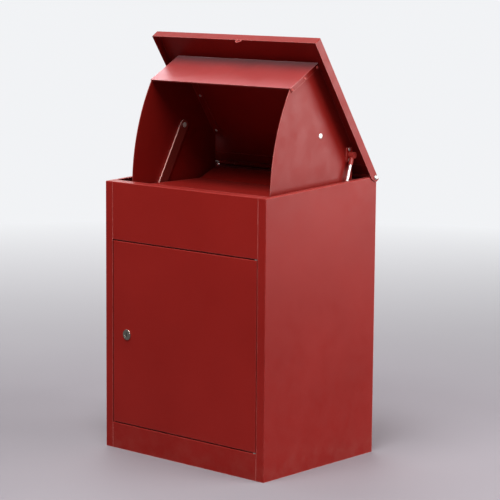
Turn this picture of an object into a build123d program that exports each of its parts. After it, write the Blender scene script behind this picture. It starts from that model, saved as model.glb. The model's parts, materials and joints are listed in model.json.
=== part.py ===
"""Front-access book drop box in folded sheet steel.

The lid carries a hopper that tips books on to a hinged floor flap. Closing the lid
drops the flap through two link arms, and a gas strut carries the weight of the lid.
A locked door in the front gives access to the collection compartment.

Millimetres. +Z is up, +Y points to the rear, +X is the user's right facing the front.
The origin is the centre of the cabinet's footprint, on the floor. The lid is open.
"""

import os
from math import atan2, cos, hypot, radians, sin, sqrt, tan

from build123d import *

# ---------------------------------------------------------------- cabinet sizes
width = 440.0
depth = 342.0
front_height = 560.0
rim_rise = 18.0  # the rim climbs this much from the front to the rear
sheet = 1.5
bend = 1.4  # outside radius of a fold
match = 0.01  # how near an edge lies to the place it is found by

stile_width = 20.0
bottom_rail_height = 54.0
top_band_height = 120.0
seam = 0.4  # gap between two panels that lie side by side
jamb_depth = 12.0
jamb_start = 20.0  # height where the jamb returns begin, above the floor tray
return_depth = 25.0  # sill and head folds
front_lip = 22.0
side_lip = 10.0
tray_flange = 15.0
tray_gap = 0.3
back_gap = 0.2  # back panel to the side panels

# ---------------------------------------------------------------- fixing holes
anchor_hole = 10.0
anchor_spacing_x = 300.0
anchor_spacing_y = 220.0
wall_hole = 7.0
wall_spacing_x = 300.0
wall_spacing_z = 340.0
wall_hole_height = 110.0

# ---------------------------------------------------------------- lid and its hinge
lid_angle = 59.5  # travel from closed to open
lid_gap = 3.0  # closed lid above the rim
lid_side_gap = 1.0  # lid flange to cabinet side
lid_front_gap = 1.2
lid_flange = 18.5
lid_tail = 9.0  # lid sheet behind the hinge axis
flange_heel = 9.0  # side flange behind the hinge axis
flange_heel_round = 6.0
hinge_rod = 5.0
hinge_barrel = 10.0
hinge_leaf = 1.2
hinge_leaf_reach = 26.0
hinge_knuckles = 9
hinge_inset = 12.0  # hinge end to the outside of the cabinet
hinge_notch_gap = 2.0  # side panel's corner notch to the barrel
hinge_back_gap = 0.5  # back panel's top edge to the barrel
knuckle_gap = 0.4
knuckle_room = 0.3
running_clearance = 0.05  # radial, every pin in its bore
rod_head = 10.4
rod_head_height = 3.4
rod_head_crown = 3.0
rod_head_gap = 0.1  # head to the lid's flange

eye_radius = 7.8
eye_drop = 1.0
eye_hole = 5.6
eye_x = 22.5

# ---------------------------------------------------------------- hopper
hopper_side_gap = 30.4  # hopper plate to the outside of the cabinet
hood_lean = 7.0  # hood's lower edge ahead of its upper edge
hood_below = 90.9  # hood's lower edge below the hinge axis, square to the lid
hood_flange = 9.0
hood_hem = 8.0  # lower edge folded back flat
hood_top_flange = 12.0
hood_screw_count = 3
hood_screw_inset = 4.0
hood_screw_pitch = 42.5
hood_screw = 3.0
hood_screw_head = 6.4
hood_screw_head_height = 2.0
hood_screw_head_taper = 12.0
plate_rear = 75.2  # where the plate's rear edge leaves the lid
plate_rear_drop = 75.0
plate_heel_along = 14.1
plate_heel_below = 94.8
plate_nose_angle = 68.7  # below the lid, where the curved front edge ends
plate_nose_setback = 5.1
plate_curve = 441.0
plate_corner = 8.0
plate_flange = 16.0
lip_clearance = 15.0
rivet_places = (86.0, 178.0, 258.0)
rivet = 3.2
rivet_head = 7.0
rivet_head_height = 1.6
rivet_head_taper = 20.0
rivet_drill = 6.0  # length of the cut that drills two sheets

# ---------------------------------------------------------------- shelf, flap and link arms
flap_axis_inset = 48.0  # flap hinge axis to the back of the cabinet
flap_axis_below_rim = 8.2
flap_barrel = 8.0
flap_rod = 4.0
flap_knuckles = 7
flap_end_gap = 6.1  # flap to hopper plate
shelf_notch = 10.0  # full-width part of the shelf behind the flap axis
shelf_hinge_gap = 0.5  # shelf to the lid hinge's barrel
shelf_leg = 24.0
shelf_side_gap = 2.5
flap_level = 17.3  # flat part below the flap's hinge axis
flap_bend_reach = 50.0  # bend in front of the flap's hinge axis
flap_front_gap = 14.0
flap_skirt = 18.0
flap_lip = 12.0
flap_hem_round = 1.4

arm_width = 22.0
arm_sheet = 3.0
arm_length = 143.0
arm_lean = 28.7  # from the vertical, lid open
arm_pin = 6.0
arm_stud = 12.0
stud_lug = 8.9  # half the width of the lug that carries a stud
arm_pin_along = 152.0
arm_pin_below = 65.4
arm_plate_gap = 0.7
arm_stud_gap = 0.3
pin_head = 11.0
pin_head_height = 1.8
pin_head_taper = 20.0

# ---------------------------------------------------------------- gas strut
strut_inset = 20.5  # strut centre line to the outside of the cabinet
strut_ball_along = 66.5
strut_ball_below = 14.3
strut_length = 274.0
strut_lean = 17.6
strut_rod_size = 6.0
strut_tube = 15.0
strut_tube_wall = 1.0
strut_tube_length = 146.0
strut_socket = 13.0
strut_socket_half = 6.5
strut_socket_reach = 20.0
strut_neck = 9.0
strut_rod_inside = 26.0
gland_length = 4.0
strut_pin = 8.0
strut_pin_gap = 0.4
strut_pocket = 10.4
strut_pocket_gap = 0.6  # stud's end to the pocket's floor
bracket_sheet = 2.0
bracket_length = 30.0
bracket_width = 18.0
bracket_rivets = 21.0
bracket_round = 4.0
stud_hex = 11.0
stud_hex_height = 4.0

# ---------------------------------------------------------------- door and lock
door_gap = 2.0
door_depth = 12.0
door_axis_inset = 6.0  # from the opening's right edge
door_axis_depth = 4.0
door_pin = 5.0
door_pin_reach = 5.0
door_washer = 8.0
door_washer_height = 1.8

lock_backset = 40.5  # from the door's left edge
lock_height = 245.0
lock_head = 22.0
lock_head_height = 2.6
lock_head_bevel = 0.9
lock_barrel = 18.6
lock_barrel_depth = 13.0
lock_plug = 12.0
lock_plug_recess = 0.5
lock_nut = 24.0
lock_nut_height = 4.0
key_slot_width = 1.6
key_slot_length = 8.0
key_slot_depth = 9.0
plug_square = 8.0
cam_length = 52.0
cam_width = 15.0
cam_sheet = 2.5
cam_gap = 0.3
cam_screw_head = 10.0
cam_screw_head_height = 2.4
cam_screw_crown = 1.2

# ---------------------------------------------------------------- worked-out places
half_width = width / 2
front_y = -depth / 2
rear_y = depth / 2
rim_slope = atan2(rim_rise, depth)
inner_x = half_width - sheet
stile_x = half_width - stile_width
band_half = stile_x - seam
opening_bottom = bottom_rail_height
opening_top = front_height - top_band_height


def rim_z(y):
    """Height of the rim at a distance from the middle of the cabinet."""
    return front_height + (y - front_y) * rim_rise / depth


lid_skin = hinge_barrel / 2  # underside of the lid above the hinge axis
axis_y = rear_y - hinge_barrel / 2
axis_z = rim_z(axis_y) + lid_gap - lid_skin
open_angle = radians(lid_angle) - rim_slope
lid_outer = half_width + lid_side_gap + sheet
lid_inner_front = (axis_y - front_y + lid_front_gap) / cos(rim_slope) + lid_flange * sin(rim_slope)
lid_outer_front = lid_inner_front + sheet
lid_flange_edge = lid_flange - lid_skin - sheet  # flange's lower edge below the hinge axis

hopper_outer = half_width - hopper_side_gap
plate_inner = hopper_outer - sheet
hopper_reach = hypot(axis_y - front_y - front_lip, axis_z - front_height) - lip_clearance
hood_front = sqrt(hopper_reach**2 - hood_below**2)
hood_rear = hood_front - hood_lean


def lid_plane(x):
    """Side-on plane of the open lid: x runs to the lid's front, y out of its top."""
    along = Vector(0, -cos(open_angle), sin(open_angle))
    return Plane(origin=(x, axis_y, axis_z), x_dir=along, z_dir=(-1, 0, 0))


def side_plane(x):
    """Side-on plane of the cabinet: x runs to the rear, y up."""
    return Plane(origin=(x, 0, 0), x_dir=(0, 1, 0), z_dir=(1, 0, 0))


def lid_point(along, below):
    """Cabinet y and z of a place on the open lid."""
    y = axis_y - along * cos(open_angle) - below * sin(open_angle)
    z = axis_z + along * sin(open_angle) - below * cos(open_angle)
    return y, z


def lid_spot(x, along):
    """Plane square to the lid, on its underside, z out of the lid's top."""
    y, z = lid_point(along, -lid_skin)
    return Plane(origin=(x, y, z), x_dir=(1, 0, 0), z_dir=(0, sin(open_angle), cos(open_angle)))


def rivet_spots(side):
    """Where the rivets of one hopper plate pass through the lid."""
    x = side * (plate_inner - plate_flange / 2)
    return [Location(lid_spot(x, place)) for place in rivet_places]


def block(x, y, z):
    """A box between two limits on each axis, for use inside a part."""
    with Locations(((x[0] + x[1]) / 2, (y[0] + y[1]) / 2, (z[0] + z[1]) / 2)):
        Box(abs(x[1] - x[0]), abs(y[1] - y[0]), abs(z[1] - z[0]))


def slot_out(x, y, z):
    """Cut the same kind of box away."""
    with Locations(((x[0] + x[1]) / 2, (y[0] + y[1]) / 2, (z[0] + z[1]) / 2)):
        Box(abs(x[1] - x[0]), abs(y[1] - y[0]), abs(z[1] - z[0]), mode=Mode.SUBTRACT)


os.makedirs("parts", exist_ok=True)


def save(piece, name):
    """Label a finished piece and write it to its own file."""
    piece.label = name
    export_step(piece, f"parts/{name}.step")


# ---------------------------------------------------------------- cabinet side panels
hinge_notch = hinge_barrel / 2 + hinge_notch_gap
notch_y = axis_y - hinge_notch
notch_z = axis_z - hinge_notch


def side_panel(side):
    """Side web with the front stile, its jamb return and the inward rim lip."""
    with BuildPart() as panel:
        with BuildSketch(side_plane(side * half_width)):
            with BuildLine():
                Polyline(
                    (front_y, 0),
                    (rear_y, 0),
                    (rear_y, notch_z),
                    (notch_y, notch_z),
                    (notch_y, rim_z(notch_y)),
                    (front_y, front_height),
                    close=True,
                )
            make_face()
        extrude(amount=-side * sheet)
        block((side * stile_x, side * inner_x), (front_y, front_y + sheet), (0, front_height))
        block(
            (side * stile_x, side * (stile_x + sheet)),
            (front_y, front_y + jamb_depth),
            (jamb_start, front_height - sheet),
        )
        for reach, lip_rear in ((stile_width, front_y + front_lip), (side_lip, notch_y)):
            with BuildSketch(side_plane(side * (half_width - reach))):
                with BuildLine():
                    Polyline(
                        (front_y, rim_z(front_y) - sheet),
                        (lip_rear, rim_z(lip_rear) - sheet),
                        (lip_rear, rim_z(lip_rear)),
                        (front_y, rim_z(front_y)),
                        close=True,
                    )
                make_face()
            extrude(amount=side * (reach - sheet / 2))
        folds = panel.edges().filter_by(Axis.Z).filter_by(
            lambda e: abs(e.center().Y - front_y) < match and abs(abs(e.center().X) - half_width) < match
        )
        fillet(folds, bend)
        rims = panel.edges().filter_by(
            lambda e: abs(abs(e.center().X) - half_width) < match
            and e.length > depth / 2
            and e.center().Z > front_height
        )
        fillet(rims, bend)
    return panel.part


left_side_panel = side_panel(-1)
save(left_side_panel, "left_side_panel")
right_side_panel = side_panel(1)
save(right_side_panel, "right_side_panel")

# ---------------------------------------------------------------- back panel
back_half = inner_x - back_gap
back_top = axis_z - hinge_barrel / 2 - hinge_back_gap
wall_centre = wall_hole_height + wall_spacing_z / 2
with BuildPart() as back_panel:
    block((-back_half, back_half), (rear_y - sheet, rear_y), (0, back_top))
    for side in (-1, 1):
        block(
            (side * (back_half - sheet), side * back_half),
            (rear_y - tray_flange, rear_y - sheet),
            (jamb_start, notch_z),
        )
    with Locations(Plane(origin=(0, rear_y, wall_centre), x_dir=(1, 0, 0), z_dir=(0, 1, 0))):
        with GridLocations(wall_spacing_x, wall_spacing_z, 2, 2):
            Hole(wall_hole / 2, depth=sheet)
save(back_panel.part, "back_panel")

# ---------------------------------------------------------------- front panels
door_axis_x = stile_x - door_axis_inset
door_axis_y = front_y + door_axis_depth


def long_front_folds(panel):
    """The full-width folds along the front face of a panel."""
    return panel.edges().filter_by(Axis.X).filter_by(
        lambda e: abs(e.center().Y - front_y) < match and e.length > width / 2
    )


with BuildPart() as front_top_panel:
    block((-band_half, band_half), (front_y, front_y + sheet), (opening_top, front_height))
    block((-band_half, band_half), (front_y, front_y + return_depth), (opening_top, opening_top + sheet))
    with BuildSketch(side_plane(-band_half)):
        with BuildLine():
            Polyline(
                (front_y, rim_z(front_y) - sheet),
                (front_y + front_lip, rim_z(front_y + front_lip) - sheet),
                (front_y + front_lip, rim_z(front_y + front_lip)),
                (front_y, rim_z(front_y)),
                close=True,
            )
        make_face()
    extrude(amount=2 * band_half)
    for side in (-1, 1):
        block(
            (side * (band_half - sheet), side * band_half),
            (front_y, front_y + jamb_depth),
            (opening_top, front_height - sheet),
        )
    fillet(long_front_folds(front_top_panel), bend)
    with Locations(Plane(origin=(door_axis_x, door_axis_y, opening_top + sheet), z_dir=(0, 0, 1))):
        Hole(door_pin / 2, depth=sheet)
save(front_top_panel.part, "front_top_panel")

with BuildPart() as front_bottom_rail:
    block((-band_half, band_half), (front_y, front_y + sheet), (0, opening_bottom))
    block(
        (-band_half, band_half),
        (front_y, front_y + return_depth),
        (opening_bottom - sheet, opening_bottom),
    )
    for side in (-1, 1):
        block(
            (side * (band_half - sheet), side * band_half),
            (front_y, front_y + jamb_depth),
            (jamb_start, opening_bottom),
        )
    top_fold = long_front_folds(front_bottom_rail).sort_by(Axis.Z)[-1]
    fillet(top_fold, bend)
    with Locations(Plane(origin=(door_axis_x, door_axis_y, opening_bottom), z_dir=(0, 0, 1))):
        Hole(door_pin / 2, depth=sheet)
save(front_bottom_rail.part, "front_bottom_rail")

# ---------------------------------------------------------------- floor tray
tray_half = inner_x - tray_gap
tray_front = front_y + sheet + tray_gap
tray_rear = rear_y - sheet - tray_gap
with BuildPart() as floor_tray:
    block((-tray_half, tray_half), (tray_front, tray_rear), (0, tray_flange))
    under_folds = floor_tray.edges().group_by(Axis.Z)[0]
    fillet(under_folds, bend)
    slot_out(
        (-tray_half + sheet, tray_half - sheet),
        (tray_front + sheet, tray_rear - sheet),
        (sheet, tray_flange),
    )
    with Locations(Plane(origin=(0, 0, sheet), z_dir=(0, 0, 1))):
        with GridLocations(anchor_spacing_x, anchor_spacing_y, 2, 2):
            Hole(anchor_hole / 2, depth=sheet)
save(floor_tray.part, "floor_tray")

# ---------------------------------------------------------------- lid hinge
hinge_length = width - 2 * hinge_inset
knuckle_pitch = hinge_length / hinge_knuckles


def knuckles(first, count, pitch, length, centre, radius, bore):
    """Every second knuckle of a hinge, as short tubes along X."""
    for index in range(first, count, 2):
        start = -length / 2 + index * pitch + knuckle_gap / 2
        with BuildSketch(side_plane(start)) as barrel:
            with Locations(centre):
                Circle(radius)
        extrude(barrel.sketch, amount=pitch - knuckle_gap)
    with BuildSketch(side_plane(-length / 2)) as hole:
        with Locations(centre):
            Circle(bore)
    extrude(hole.sketch, amount=length, mode=Mode.SUBTRACT)


def leaf_gaps(first, count, pitch, length, y, z):
    """Clear the leaf away beside the other leaf's knuckles."""
    for index in range(first, count, 2):
        start = -length / 2 + index * pitch - knuckle_gap / 2
        slot_out((start, start + pitch + knuckle_gap), y, z)


hinge_bore = hinge_rod / 2 + running_clearance
leaf_bottom = axis_z - hinge_leaf_reach
barrel_room = hinge_barrel / 2 + knuckle_room
with BuildPart() as cabinet_hinge_leaf:
    block(
        (-hinge_length / 2, hinge_length / 2),
        (rear_y - sheet - hinge_leaf, rear_y - sheet),
        (leaf_bottom, axis_z),
    )
    leaf_gaps(
        1,
        hinge_knuckles,
        knuckle_pitch,
        hinge_length,
        (axis_y - barrel_room, rear_y),
        (axis_z - barrel_room, axis_z + barrel_room),
    )
    knuckles(
        0, hinge_knuckles, knuckle_pitch, hinge_length, (axis_y, axis_z), hinge_barrel / 2, hinge_bore
    )
save(cabinet_hinge_leaf.part, "cabinet_hinge_leaf")

with BuildPart() as lid_hinge_leaf:
    with BuildSketch(lid_plane(hinge_length / 2)):
        with BuildLine():
            Polyline(
                (0, lid_skin - hinge_leaf),
                (hinge_leaf_reach, lid_skin - hinge_leaf),
                (hinge_leaf_reach, lid_skin),
                (0, lid_skin),
                close=True,
            )
        make_face()
    extrude(amount=hinge_length)
    for index in range(0, hinge_knuckles, 2):
        start = hinge_length / 2 - index * knuckle_pitch + knuckle_gap / 2
        with BuildSketch(lid_plane(start)):
            Rectangle(2 * barrel_room, 2 * barrel_room)
        extrude(amount=knuckle_pitch + knuckle_gap, mode=Mode.SUBTRACT)
    knuckles(
        1, hinge_knuckles, knuckle_pitch, hinge_length, (axis_y, axis_z), hinge_barrel / 2, hinge_bore
    )
save(lid_hinge_leaf.part, "lid_hinge_leaf")

rod_half = lid_outer + rod_head_gap
with BuildPart() as lid_hinge_rod:
    with BuildSketch(side_plane(-rod_half)):
        with Locations((axis_y, axis_z)):
            Circle(hinge_rod / 2)
    extrude(amount=2 * rod_half)
    for side in (-1, 1):
        with BuildSketch(side_plane(side * rod_half)):
            with Locations((axis_y, axis_z)):
                Circle(rod_head / 2)
        extrude(amount=side * rod_head_height)
    crowns = lid_hinge_rod.edges().filter_by(GeomType.CIRCLE).group_by(Axis.X)
    fillet(crowns[0] + crowns[-1], rod_head_crown)
save(lid_hinge_rod.part, "lid_hinge_rod")

# ---------------------------------------------------------------- lid
lid_up = Axis(origin=(0, axis_y, axis_z), direction=(0, sin(open_angle), cos(open_angle)))
lid_forward = Axis(origin=(0, axis_y, axis_z), direction=(0, -cos(open_angle), sin(open_angle)))

with BuildPart() as lid_panel:
    with BuildSketch(lid_plane(lid_outer)) as lid_side:
        with BuildLine():
            Polyline(
                (-lid_tail, lid_skin + sheet),
                (lid_outer_front, lid_skin + sheet),
                (lid_outer_front, -lid_flange_edge),
                (flange_heel_round, -lid_flange_edge),
                (-flange_heel, -lid_skin),
                (-flange_heel, 0),
                close=True,
            )
        make_face()
        heel_corners = lid_side.vertices().filter_by(
            lambda v: v.X < lid_outer_front / 2 and v.Y < -lid_skin + match
        )
        fillet(heel_corners, flange_heel_round)
    extrude(amount=2 * lid_outer)
    top_edges = lid_panel.faces().sort_by(lid_up)[-1].edges().sort_by(lid_forward)[1:]
    front_corners = lid_panel.edges().filter_by(lid_up).sort_by(lid_forward)[-2:]
    fillet(top_edges + front_corners, bend)
    with BuildSketch(lid_plane(lid_outer - sheet)):
        with BuildLine():
            Polyline(
                (-2 * flange_heel, lid_skin),
                (lid_inner_front, lid_skin),
                (lid_inner_front, -2 * lid_flange),
                (-2 * flange_heel, -2 * lid_flange),
                close=True,
            )
        make_face()
    extrude(amount=2 * (lid_outer - sheet), mode=Mode.SUBTRACT)
    with BuildSketch(lid_plane(lid_outer)):
        Circle(hinge_bore)
    extrude(amount=2 * lid_outer, mode=Mode.SUBTRACT)
    with Locations(*rivet_spots(-1), *rivet_spots(1)):
        Cylinder(rivet / 2, rivet_drill, mode=Mode.SUBTRACT)
save(lid_panel.part, "lid_panel")

eye_y, eye_z = lid_point(lid_inner_front, 0)
eye_plane = Plane(origin=(eye_x, eye_y, eye_z), x_dir=(1, 0, 0), z_dir=lid_forward.direction)
with BuildPart() as padlock_eye:
    with BuildSketch(eye_plane):
        with Locations((0, -lid_flange_edge - eye_drop)):
            Circle(eye_radius)
            Circle(eye_hole / 2, mode=Mode.SUBTRACT)
        with Locations((0, -lid_flange_edge + eye_radius)):
            Rectangle(2 * eye_radius, 2 * eye_radius, mode=Mode.SUBTRACT)
    extrude(amount=sheet)
save(padlock_eye.part, "padlock_eye")

# ---------------------------------------------------------------- hopper plates and hood
hood_line = atan2(hood_front - hood_rear, hood_below + lid_skin)  # lean off the square
hood_length = hypot(hood_front - hood_rear, hood_below + lid_skin)
hood_outer = hopper_outer + sheet


def hood_plane(x):
    """Side-on plane of the hood: x runs down the hood from the lid, y to its outside."""
    y, z = lid_point(hood_rear, -lid_skin)
    turn = open_angle + hood_line
    down = Vector(0, -sin(turn), -cos(turn))
    return Plane(origin=(x, y, z), x_dir=down, z_dir=(-1, 0, 0))


hood_screw_places = [
    hood_length - hood_screw_inset - index * hood_screw_pitch for index in range(hood_screw_count)
]
nose_reach = hopper_reach - plate_nose_setback
nose = (
    nose_reach * cos(radians(plate_nose_angle)),
    -nose_reach * sin(radians(plate_nose_angle)),
)
arm_bore = arm_pin / 2 + running_clearance


def hopper_plate(side):
    """Sector plate under the lid with a curved front edge and a flange on the lid."""
    face = hopper_outer if side > 0 else -plate_inner
    with BuildPart() as plate:
        with BuildSketch(lid_plane(face)) as outline:
            with BuildLine():
                Polyline(
                    nose,
                    (plate_heel_along, -plate_heel_below),
                    (
                        plate_rear - plate_rear_drop * sin(open_angle),
                        lid_skin - plate_rear_drop * cos(open_angle),
                    ),
                    (plate_rear, lid_skin),
                    (hood_rear, lid_skin),
                    (hood_front, -hood_below),
                )
                RadiusArc((hood_front, -hood_below), nose, plate_curve)
            make_face()
            low_corners = outline.vertices().filter_by(
                lambda v: v.Y < -lid_skin and v.X < hood_front - plate_corner
            )
            fillet(low_corners, plate_corner)
            with Locations((arm_pin_along, -arm_pin_below)):
                Circle(arm_bore, mode=Mode.SUBTRACT)
        extrude(amount=sheet)
        flange_start = plate_inner if side > 0 else plate_flange - plate_inner
        with BuildSketch(lid_plane(flange_start)):
            with BuildLine():
                Polyline(
                    (plate_rear, lid_skin - sheet),
                    (hood_rear - plate_flange, lid_skin - sheet),
                    (hood_rear - plate_flange, lid_skin),
                    (plate_rear, lid_skin),
                    close=True,
                )
            make_face()
        extrude(amount=plate_flange)
        with Locations(*rivet_spots(side)):
            Cylinder(rivet / 2, rivet_drill, mode=Mode.SUBTRACT)
        for place in hood_screw_places:
            with BuildSketch(hood_plane(side * plate_inner)):
                with Locations((place, -hood_flange / 2)):
                    Circle(hood_screw / 2)
            extrude(amount=-side * sheet, mode=Mode.SUBTRACT)
    return plate.part


left_hopper_plate = hopper_plate(-1)
save(left_hopper_plate, "left_hopper_plate")
right_hopper_plate = hopper_plate(1)
save(right_hopper_plate, "right_hopper_plate")


def hood_strip(x, length, start, stop, below, above):
    """A strip of the hood between two places along it and two heights off its inside."""
    with BuildSketch(hood_plane(x)) as strip:
        with BuildLine():
            Polyline((start, below), (stop, below), (stop, above), (start, above), close=True)
        make_face()
    extrude(strip.sketch, amount=-length)


with BuildPart() as hood_plate:
    hood_strip(-hood_outer, 2 * hood_outer, sheet * tan(hood_line), hood_length, 0, sheet)
    hood_strip(-plate_inner, 2 * plate_inner, hood_length - hood_hem, hood_length, -sheet, 0)
    for side in (-1, 1):
        edge = hopper_outer if side > 0 else -hood_outer
        hood_strip(edge, sheet, sheet, hood_length, -hood_flange, 0)
    for side in (-1, 1):
        for place in hood_screw_places:
            with BuildSketch(hood_plane(side * hopper_outer)):
                with Locations((place, -hood_flange / 2)):
                    Circle(hood_screw / 2)
            extrude(amount=-side * sheet, mode=Mode.SUBTRACT)
    with BuildSketch(lid_plane(plate_inner)):
        with BuildLine():
            Polyline(
                (hood_rear - hood_top_flange, lid_skin - sheet),
                (hood_rear, lid_skin - sheet),
                (hood_rear, lid_skin),
                (hood_rear - hood_top_flange, lid_skin),
                close=True,
            )
        make_face()
    extrude(amount=2 * plate_inner)
save(hood_plate.part, "hood_plate")

with BuildPart() as hood_screws:
    for side in (-1, 1):
        for place in hood_screw_places:
            with BuildSketch(hood_plane(side * plate_inner)):
                with Locations((place, -hood_flange / 2)):
                    Circle(hood_screw / 2)
            extrude(amount=-side * 2 * sheet)
            with BuildSketch(hood_plane(side * hood_outer)):
                with Locations((place, -hood_flange / 2)):
                    Circle(hood_screw_head / 2)
            extrude(amount=-side * hood_screw_head_height, taper=hood_screw_head_taper)
save(hood_screws.part, "hood_screws")

with BuildPart() as hopper_rivets:
    for side in (-1, 1):
        for place in rivet_places:
            spot = lid_spot(side * (plate_inner - plate_flange / 2), place)
            with BuildSketch(spot.offset(-sheet)):
                Circle(rivet / 2)
            extrude(amount=2 * sheet)
            with BuildSketch(spot.offset(-sheet)):
                Circle(rivet_head / 2)
            extrude(amount=-rivet_head_height, taper=rivet_head_taper)
save(hopper_rivets.part, "hopper_rivets")

# ---------------------------------------------------------------- floor shelf and flap
flap_axis_y = rear_y - flap_axis_inset
flap_axis_z = rim_z(flap_axis_y) - flap_axis_below_rim
flap_half = plate_inner - flap_end_gap
flap_bore = flap_rod / 2 + running_clearance
flap_pitch = 2 * flap_half / flap_knuckles
flap_room = flap_barrel / 2 + knuckle_room
shelf_top = flap_axis_z + flap_barrel / 2
shelf_rear = axis_y - hinge_barrel / 2 - shelf_hinge_gap
shelf_half = inner_x - shelf_side_gap
leaf_face = rear_y - sheet - hinge_leaf

with BuildPart() as rear_shelf:
    block((-flap_half, flap_half), (flap_axis_y, shelf_rear), (shelf_top - sheet, shelf_top))
    block(
        (-shelf_half, shelf_half),
        (flap_axis_y + shelf_notch, shelf_rear),
        (shelf_top - sheet, shelf_top),
    )
    block((-shelf_half, shelf_half), (shelf_rear - sheet, shelf_rear), (shelf_top - shelf_leg, shelf_top))
    block(
        (-shelf_half, shelf_half),
        (shelf_rear - sheet, leaf_face),
        (shelf_top - shelf_leg, shelf_top - shelf_leg + sheet),
    )
    leaf_gaps(
        1,
        flap_knuckles,
        flap_pitch,
        2 * flap_half,
        (flap_axis_y - flap_room, flap_axis_y + flap_room),
        (flap_axis_z - flap_room, flap_axis_z + flap_room),
    )
    knuckles(
        0, flap_knuckles, flap_pitch, 2 * flap_half, (flap_axis_y, flap_axis_z), flap_barrel / 2, flap_bore
    )
save(rear_shelf.part, "rear_shelf")

flap_top = flap_axis_z - flap_level
flap_bend_y = flap_axis_y - flap_bend_reach
flap_front = front_y + flap_front_gap
arm_pin_y, arm_pin_z = lid_point(arm_pin_along, arm_pin_below)
stud_y = arm_pin_y - arm_length * sin(radians(arm_lean))
stud_z = arm_pin_z - arm_length * cos(radians(arm_lean))

with BuildPart() as floor_flap:
    with BuildSketch(side_plane(-flap_half)):
        with BuildLine():
            Polyline(
                (flap_front, flap_top - sheet),
                (flap_bend_y, flap_top - sheet),
                (flap_axis_y, shelf_top - sheet),
                (flap_axis_y, shelf_top),
                (flap_bend_y, flap_top),
                (flap_front, flap_top),
                close=True,
            )
        make_face()
    extrude(amount=2 * flap_half)
    block((-flap_half, flap_half), (flap_front, flap_front + sheet), (flap_top - flap_lip, flap_top))
    for side in (-1, 1):
        block(
            (side * (flap_half - sheet), side * flap_half),
            (flap_front, flap_bend_y),
            (flap_top - flap_skirt, flap_top),
        )
        for lug_end in (stud_z - stud_lug, stud_z + stud_lug, flap_top - sheet):
            block(
                (side * (flap_half - sheet), side * flap_half),
                (stud_y - stud_lug, stud_y + stud_lug),
                (lug_end, stud_z),
            )
    front_edges = floor_flap.edges().filter_by(Axis.X).sort_by(Axis.Y)[:4].sort_by(Axis.Z)[-1]
    fillet(front_edges, flap_hem_round)
    leaf_gaps(
        0,
        flap_knuckles,
        flap_pitch,
        2 * flap_half,
        (flap_axis_y - flap_room, flap_axis_y + flap_room),
        (flap_axis_z - flap_room, flap_axis_z + flap_room),
    )
    knuckles(
        1, flap_knuckles, flap_pitch, 2 * flap_half, (flap_axis_y, flap_axis_z), flap_barrel / 2, flap_bore
    )
save(floor_flap.part, "floor_flap")

with BuildPart() as flap_hinge_rod:
    with BuildSketch(side_plane(-flap_half)):
        with Locations((flap_axis_y, flap_axis_z)):
            Circle(flap_rod / 2)
    extrude(amount=2 * flap_half)
save(flap_hinge_rod.part, "flap_hinge_rod")

arm_outer = plate_inner - arm_plate_gap
arm_inner = arm_outer - arm_sheet
with BuildPart() as flap_link_studs:
    for side in (-1, 1):
        with BuildSketch(side_plane(side * flap_half)):
            with Locations((stud_y, stud_z)):
                Circle(arm_stud / 2)
        extrude(amount=side * (arm_inner - arm_stud_gap - flap_half))
save(flap_link_studs.part, "flap_link_studs")


def link_arm(side):
    """Flat bar with round ends, bored for its pin at the hopper plate."""
    middle = ((arm_pin_y + stud_y) / 2, (arm_pin_z + stud_z) / 2)
    with BuildPart() as arm:
        with BuildSketch(side_plane(side * arm_outer)):
            with Locations(middle):
                SlotCenterToCenter(arm_length, arm_width, rotation=90 - arm_lean)
            with Locations((arm_pin_y, arm_pin_z), (stud_y, stud_z)):
                Circle(arm_bore, mode=Mode.SUBTRACT)
        extrude(amount=-side * arm_sheet)
    return arm.part


left_link_arm = link_arm(-1)
save(left_link_arm, "left_link_arm")
right_link_arm = link_arm(1)
save(right_link_arm, "right_link_arm")

with BuildPart() as link_arm_pins:
    for side in (-1, 1):
        pin_end = arm_inner - arm_stud_gap
        with BuildSketch(side_plane(side * pin_end)):
            with Locations((arm_pin_y, arm_pin_z)):
                Circle(arm_pin / 2)
        extrude(amount=side * (hopper_outer - pin_end))
        for face, direction in ((hopper_outer, side), (pin_end, -side)):
            with BuildSketch(side_plane(side * face)):
                with Locations((arm_pin_y, arm_pin_z)):
                    Circle(pin_head / 2)
            extrude(amount=direction * pin_head_height, taper=pin_head_taper)
save(link_arm_pins.part, "link_arm_pins")

# ---------------------------------------------------------------- gas strut
strut_x = half_width - strut_inset
ball_y, ball_z = lid_point(strut_ball_along, strut_ball_below)
lean = radians(strut_lean)
foot_y = ball_y - strut_length * sin(lean)
foot_z = ball_z - strut_length * cos(lean)


def strut_plane(at):
    """Plane across the strut at a distance down from its upper ball."""
    origin = (strut_x, ball_y - at * sin(lean), ball_z - at * cos(lean))
    return Plane(origin=origin, x_dir=(1, 0, 0), z_dir=(0, -sin(lean), -cos(lean)))


tube_bottom = strut_length - strut_socket_reach
tube_top = tube_bottom - strut_tube_length
tube_bore = strut_tube / 2 - strut_tube_wall


def round_bar(start, stop, radius):
    """A round bar along the strut."""
    with BuildSketch(strut_plane(start)) as disc:
        Circle(radius)
    extrude(disc.sketch, amount=stop - start)


def socket(y, z, at, reach, name, pocket_side):
    """Moulded end: a boss across the strut on a short neck, with a pocket for the ball."""
    with BuildPart() as end:
        with BuildSketch(side_plane(strut_x - strut_socket_half)):
            with Locations((y, z)):
                Circle(strut_socket / 2)
        extrude(amount=2 * strut_socket_half)
        round_bar(at, at + reach, strut_neck / 2)
        with BuildSketch(side_plane(strut_x + pocket_side * strut_socket_half)):
            with Locations((y, z)):
                Circle(strut_pin / 2 + running_clearance)
        extrude(amount=-pocket_side * strut_pocket, mode=Mode.SUBTRACT)
    save(end.part, name)


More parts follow.
